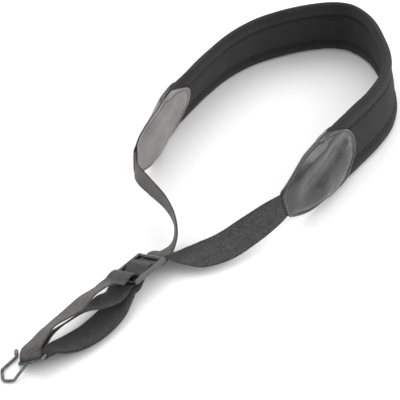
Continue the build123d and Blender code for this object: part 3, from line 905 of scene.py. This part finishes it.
def weave_look(name, dark, pale, sheen):
    """Woven nylon webbing: cords along it crossed by picks, selvedges and fuzz."""
    look, tree, shader = new_look(name)
    place, along, across = flow_parts(tree)
    cords = sine(tree, across, 2.1)
    picks = sine(tree, along, 1.9)
    cross = calc(tree, "MULTIPLY", cords, picks)
    fine = sine(tree, calc(tree, "MULTIPLY_ADD", across, 0.6, along), 0.62)
    cloth = calc(tree, "MULTIPLY_ADD", fine, 0.22, cross)
    stray = grain(tree, place, 0.55, 4.0, 0.65)
    patchy = grain(tree, place, 0.11, 3.0)
    fuzz = calc(tree, "MULTIPLY_ADD", stray, 2.4, -0.7)
    shade = calc(tree, "MULTIPLY_ADD", cloth, 0.2, fuzz)
    shade = calc(tree, "MULTIPLY_ADD", patchy, 0.5, shade)
    inset = calc(tree, "SUBTRACT", WEB_WIDTH / 2, calc(tree, "ABSOLUTE", across))
    selvedge = ramp(tree, inset, 0.6, 2.0, -0.16, 0.0)
    shade = calc(tree, "ADD", shade, selvedge)
    colour = blend_colour(tree, ramp(tree, shade, 0.4, 1.15), dark, pale)
    tree.links.new(colour, shader.inputs["Base Color"])
    tree.links.new(ramp(tree, stray, 0.3, 0.7, 0.55, 0.75), shader.inputs["Roughness"])
    shader.inputs["Sheen Weight"].default_value = sheen
    shader.inputs["Sheen Roughness"].default_value = 0.4
    height = calc(tree, "MULTIPLY_ADD", stray, 0.8, cloth)
    bump(tree, shader, height, 0.00022)
    return look


def leather_look(name, dark, pale, rough, coat):
    """Smooth leather: fine pores, uneven dye, rubbed high spots."""
    look, tree, shader = new_look(name)
    place, _, _ = flow_parts(tree)
    inputs = {"Vector": place, "Scale": 0.85, "Randomness": 1.0}
    pores = add(tree, "ShaderNodeTexVoronoi", inputs).outputs["Distance"]
    fine = grain(tree, place, 1.6, 4.0)
    dye = grain(tree, place, 0.055, 4.0)
    shade = calc(tree, "MULTIPLY_ADD", pores, 0.3, dye)
    colour = blend_colour(tree, ramp(tree, shade, 0.35, 1.0), dark, pale)
    tree.links.new(colour, shader.inputs["Base Color"])
    rubbed = calc(tree, "MULTIPLY_ADD", fine, 0.4, dye)
    high = ramp(tree, rubbed, 0.45, 0.95, rough + 0.04, rough - 0.04)
    tree.links.new(high, shader.inputs["Roughness"])
    shader.inputs["Coat Weight"].default_value = coat
    shader.inputs["Coat Roughness"].default_value = 0.16
    height = calc(tree, "MULTIPLY_ADD", fine, 0.5, pores)
    bump(tree, shader, height, 0.00007)
    return look


def thread_look(name, dark, pale):
    """Twisted thread: slanting plies."""
    look, tree, shader = new_look(name)
    place, along, _ = flow_parts(tree)
    plies = sine(tree, along, 0.55)
    lint = grain(tree, place, 2.0)
    shade = calc(tree, "MULTIPLY_ADD", plies, 0.3, lint)
    colour = blend_colour(tree, ramp(tree, shade, 0.2, 0.9), dark, pale)
    tree.links.new(colour, shader.inputs["Base Color"])
    shader.inputs["Roughness"].default_value = 0.62
    bump(tree, shader, shade, 0.00008)
    return look


def plastic_look(name, dark, pale, rough):
    """Moulded plastic: faint flow marks, scuffs, and paler rubbed edges."""
    look, tree, shader = new_look(name)
    place = body_mm(tree)
    cloud = grain(tree, place, 0.25, 3.0)
    scuff = grain(tree, place, 2.4, 5.0, 0.7)
    edge = add(tree, "ShaderNodeNewGeometry", {}).outputs["Pointiness"]
    rub = calc(tree, "MULTIPLY", ramp(tree, edge, 0.51, 0.58), ramp(tree, scuff, 0.35, 0.65))
    base = blend_colour(tree, ramp(tree, cloud, 0.35, 0.7), dark, pale)
    worn = tuple(min(1.0, c * 3.0) for c in pale)
    colour = blend_colour(tree, calc(tree, "MULTIPLY", rub, 0.7), base, worn)
    tree.links.new(colour, shader.inputs["Base Color"])
    tree.links.new(ramp(tree, scuff, 0.35, 0.7, rough - 0.06, rough + 0.12),
                   shader.inputs["Roughness"])
    shader.inputs["Specular IOR Level"].default_value = 0.9
    shader.inputs["Coat Weight"].default_value = 0.5
    shader.inputs["Coat Roughness"].default_value = 0.12
    bump(tree, shader, scuff, 0.00003)
    return look


def metal_look(name, dark, pale, rough):
    """Dark nickelled wire: drawn scratches and tarnish."""
    look, tree, shader = new_look(name)
    place = body_mm(tree)
    tarnish = grain(tree, place, 0.35, 5.0, 0.65)
    drawn = grain(tree, place, 3.2, 4.0, 0.7)
    shade = calc(tree, "MULTIPLY_ADD", drawn, 0.45, tarnish)
    colour = blend_colour(tree, ramp(tree, shade, 0.5, 0.95), dark, pale)
    tree.links.new(colour, shader.inputs["Base Color"])
    shader.inputs["Metallic"].default_value = 1.0
    tree.links.new(ramp(tree, shade, 0.5, 0.95, rough + 0.1, rough - 0.06),
                   shader.inputs["Roughness"])
    bump(tree, shader, drawn, 0.00002)
    return look


LOOKS = {
    "neoprene": knit_look("neoprene_knit", (0.0055, 0.0052, 0.0056), (0.0165, 0.0158, 0.0168), 0.9),
    "binding": knit_look("binding_knit", (0.0065, 0.0062, 0.0067), (0.0205, 0.0197, 0.0208), 1.0),
    "thread": thread_look("black_thread", (0.004, 0.004, 0.004), (0.02, 0.02, 0.02)),
    "leather_dark": leather_look("leather_dark", (0.011, 0.0105, 0.0103), (0.03, 0.029, 0.028),
                                 0.27, 0.3),
    # Inner faces: the same dark leather painted pale, a painted reflection of the bright
    # surroundings seen at a grazing view.
    "leather_light": leather_look("leather_light", (0.15, 0.14, 0.137), (0.24, 0.224, 0.218),
                                  0.42, 0.1),
    "web_dark": weave_look("web_dark", (0.008, 0.0075, 0.0078), (0.062, 0.058, 0.06), 0.08),
    # The same webbing painted paler: painted sheen for strands that catch light at a grazing view.
    "web_light": weave_look("web_light", (0.011, 0.0104, 0.01), (0.1, 0.093, 0.09), 0.12),
    "slider_plastic": plastic_look("slider_plastic", (0.012, 0.012, 0.013),
                                   (0.03, 0.03, 0.032), 0.16),
    "hook_steel": metal_look("hook_steel", (0.035, 0.037, 0.04), (0.2, 0.205, 0.21), 0.27),
    "tip_plastic": plastic_look("tip_plastic", (0.05, 0.05, 0.05), (0.1, 0.1, 0.1), 0.35),
}


def finished(piece, slot_name, *cad_nodes):
    """Gives a piece its finish and hides the CAD nodes it stands for."""
    piece.data.materials.append(LOOKS[slot_name])
    if cad_nodes:
        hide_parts(*cad_nodes)
    return piece


def placed(piece, body, slot_name, *cad_nodes):
    """A finished piece that moves with one body."""
    finished(piece, slot_name, *cad_nodes)
    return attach(piece, body)


# ------------------------------------------------------------------------- build: pad
pad_pieces = [
    placed(foam_core("pad_foam"), "neck_pad", "neoprene", "pad_core"),
    placed(panel("pad_panel_outer", 1), "neck_pad", "neoprene", "outer_panel"),
    placed(panel("pad_panel_inner", -1), "neck_pad", "neoprene", "inner_panel"),
    placed(binding("pad_binding_top", 1), "neck_pad", "binding", "top_binding"),
    placed(binding("pad_binding_bottom", -1), "neck_pad", "binding", "bottom_binding"),
]
for face, word in ((1, "outer"), (-1, "inner")):
    seam = stitches(f"pad_seam_{word}", seam_lines(face), STITCH_PITCH)
    placed(seam, "neck_pad", "thread", f"{word}_seam_threads")
placed(centre_tab("pad_tab"), "neck_pad", "binding", "centre_tab")
tab_seam = stitches("pad_tab_stitches", tab_lines(), pitch=2.2, length=1.7, radius=0.28)
placed(tab_seam, "neck_pad", "thread")

# --------------------------------------------------------------------- build: leathers
# Name, narrow tip, way along the strap, face, fold style and height of the dome.
PATCHES = [
    ("left_patch", LEFT_TIP, 1, 1, LEFT_OUTER, 1.8),
    ("left_patch", LEFT_TIP, 1, -1, LEFT_INNER, 1.0),
    ("right_patch", RIGHT_TIP, -1, 1, RIGHT_OUTER, 2.4),
    ("right_patch", RIGHT_TIP, -1, -1, RIGHT_INNER, 1.0),
]
for base_name, tip, way, face, style, dome in PATCHES:
    word = "outer" if face > 0 else "inner"
    # Inner faces take the pale leather finish, which is painted reflection; the hide is the same
    # dark leather on both faces.
    colour = "leather_dark" if face > 0 else "leather_light"
    hide = leather(f"{base_name}_leather_{word}", tip, way, face, style, dome)
    placed(hide, "neck_pad", colour, f"{base_name}_{word}")
    sewn = stitches(f"{base_name}_stitches_{word}", patch_lines(tip, way, face, style, dome))
    placed(sewn, "neck_pad", "thread", f"{base_name}_stitching")

# ------------------------------------------------------------------------- build: webs
left_rows, _ = even_rows(STRAP, 0, LEFT_TIP + WEB_IN_PATCH, 1.2)
right_rows, _ = even_rows(STRAP, RIGHT_TIP - WEB_IN_PATCH, STRAP_AT[-1], 1.2)
left = web_object("left_web_woven", left_rows, cup=0.5)
right = web_object("right_web_woven", right_rows, cup=-0.5)
# The left web is painted paler as painted sheen; the right web keeps the webbing's own dark colour.
finished(left, "web_light", "left_web")
finished(right, "web_dark", "right_web")
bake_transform(left)
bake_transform(right)

PASSES = [
    ("slider_web_upper", (FIRST_LAYER, SECOND_LAYER, UPPER_DROP)),
    ("slider_web_lower", (SECOND_LAYER, FIRST_LAYER, LOWER_DROP)),
]
for name, radii in PASSES:
    layer = web_object(f"{name}_woven", strap_rows(slider_pass(*radii), 0.8))
    placed(layer, "slider", "web_dark", name)
TURN = [LOOP_TOP, (-21.0, 5.7), (-16.5, 6.0), (-12.6, 4.6), (-10.8, 1.8), (-11.8, -1.2),
        (-14.6, -2.6), (-END_BAR_U, -FIRST_LAYER), (-TURN_END, -FIRST_LAYER)]
turn = web_object("slider_turn_woven", strap_rows([on_slider(*p) for p in TURN], 0.8))
placed(turn, "slider", "web_dark", "slider_web_turn")

FLOOR_LEAVE = (-TURN_END, -(UPPER_DROP + LOWER_DROP) / 2)
FLOOR_ARRIVE = from_below(-(INNER_WRAP + OUTER_WRAP) / 2)
UPPER_ARRIVE = from_above(OUTER_WRAP, UPPER_SLOPE)
MIDDLE_ARRIVE = from_above(INNER_WRAP, MIDDLE_SLOPE)
# The upper strand takes the paler finish, which is painted sheen; the others keep the webbing's
# dark colour.
STRANDS = [
    ("loop_upper_strand", LOOP_TOP, UPPER_STRAND, UPPER_ARRIVE, 0.0, "web_light"),
    ("loop_middle_strand", (-TURN_END, -FIRST_LAYER), MIDDLE_STRAND, MIDDLE_ARRIVE, 0.0,
     "web_dark"),
    ("loop_floor_strand_upper", FLOOR_LEAVE, FLOOR_STRAND, FLOOR_ARRIVE, -LAYER / 2,
     "web_dark"),
    ("loop_floor_strand_lower", FLOOR_LEAVE, FLOOR_STRAND, FLOOR_ARRIVE, LAYER / 2,
     "web_dark"),
]
for name, leave, route, arrive, offset, colour in STRANDS:
    strand = web_object(f"{name}_woven", strand_rows(leave, route, arrive), offset)
    finished(strand, colour, name)
    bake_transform(strand)
# The outer wrap takes the paler finish, which is painted sheen on the same webbing.
WRAPS = [
    ("hook_wrap_inner", INNER_WRAP, MIDDLE_SLOPE, "web_dark"),
    ("hook_wrap_outer", OUTER_WRAP, UPPER_SLOPE, "web_light"),
]
for name, radius, slope, colour in WRAPS:
    wrap = web_object(f"{name}_woven", strap_rows(round_eye(radius, slope), 0.6))
    placed(wrap, "web_loop", colour, name)

# ------------------------------------------------------------- carried-over hard pieces
HARD = {"slider_frame": "slider_plastic", "hook_wire": "hook_steel",
        "hook_tip_sleeve": "tip_plastic"}
for name, slot_name in HARD.items():
    mesh = nodes[name].data
    mesh.materials.clear()
    mesh.materials.append(LOOKS[slot_name])

# ------------------------------------------------------------ floor, light and camera
floor_mesh = bpy.data.meshes.new("floor")
REACH = 6.0
FLOOR_DROP = 0.0002
corners = [(-REACH, -REACH), (REACH, -REACH), (REACH, REACH), (-REACH, REACH)]
floor_mesh.from_pydata([(x, y, -FLOOR_DROP) for x, y in corners], [], [(0, 1, 2, 3)])
floor = bpy.data.objects.new("floor", floor_mesh)
bpy.context.scene.collection.objects.link(floor)
floor_look, _, floor_shader = new_look("pale_floor")
floor_shader.inputs["Base Color"].default_value = (0.86, 0.86, 0.86, 1)
floor_shader.inputs["Roughness"].default_value = 0.9
floor_mesh.materials.append(floor_look)

world = bpy.data.worlds.new("studio")
world.use_nodes = True
sky = world.node_tree.nodes["Background"]
sky.inputs["Color"].default_value = (1, 1, 1, 1)
HORIZON_STRENGTH = 0.3
OVERHEAD_STRENGTH = 1.4
around = add(world.node_tree, "ShaderNodeTexCoord", {}).outputs["Generated"]
above = add(world.node_tree, "ShaderNodeSeparateXYZ", {0: around}).outputs[2]
glow = ramp(world.node_tree, above, 0.05, 0.6, HORIZON_STRENGTH, OVERHEAD_STRENGTH)
world.node_tree.links.new(glow, sky.inputs["Strength"])
bpy.context.scene.world = world
bpy.context.scene.view_settings.view_transform = "Standard"


def softbox(name, place, target, size, power):
    """Square area light aimed at a point."""
    data = bpy.data.lights.new(name, "AREA")
    data.size = size
    data.energy = power
    lamp = bpy.data.objects.new(name, data)
    lamp.location = place
    aim = Vector(target) - Vector(place)
    lamp.rotation_euler = aim.to_track_quat("-Z", "Y").to_euler()
    bpy.context.scene.collection.objects.link(lamp)


softbox("top_box", (-0.1, 0.5, 1.3), (0, 0, 0), 1.1, 5)
softbox("side_box", (0.9, -1.0, 0.7), (0, 0, 0), 0.9, 7)

AZIMUTH = math.radians(-50)
ELEVATION = math.radians(42)
DISTANCE = 1.4
target = DATUM * MM
back = Vector((math.sin(AZIMUTH) * math.cos(ELEVATION), -math.cos(AZIMUTH) * math.cos(ELEVATION),
               math.sin(ELEVATION)))
camera_data = bpy.data.cameras.new("camera")
camera_data.sensor_width = 36.0
camera_data.lens = 142.4
camera = bpy.data.objects.new("camera", camera_data)
camera.location = target + back * DISTANCE
camera.rotation_euler = (-back).to_track_quat("-Z", "Y").to_euler()
bpy.context.scene.collection.objects.link(camera)
bpy.context.scene.camera = camera
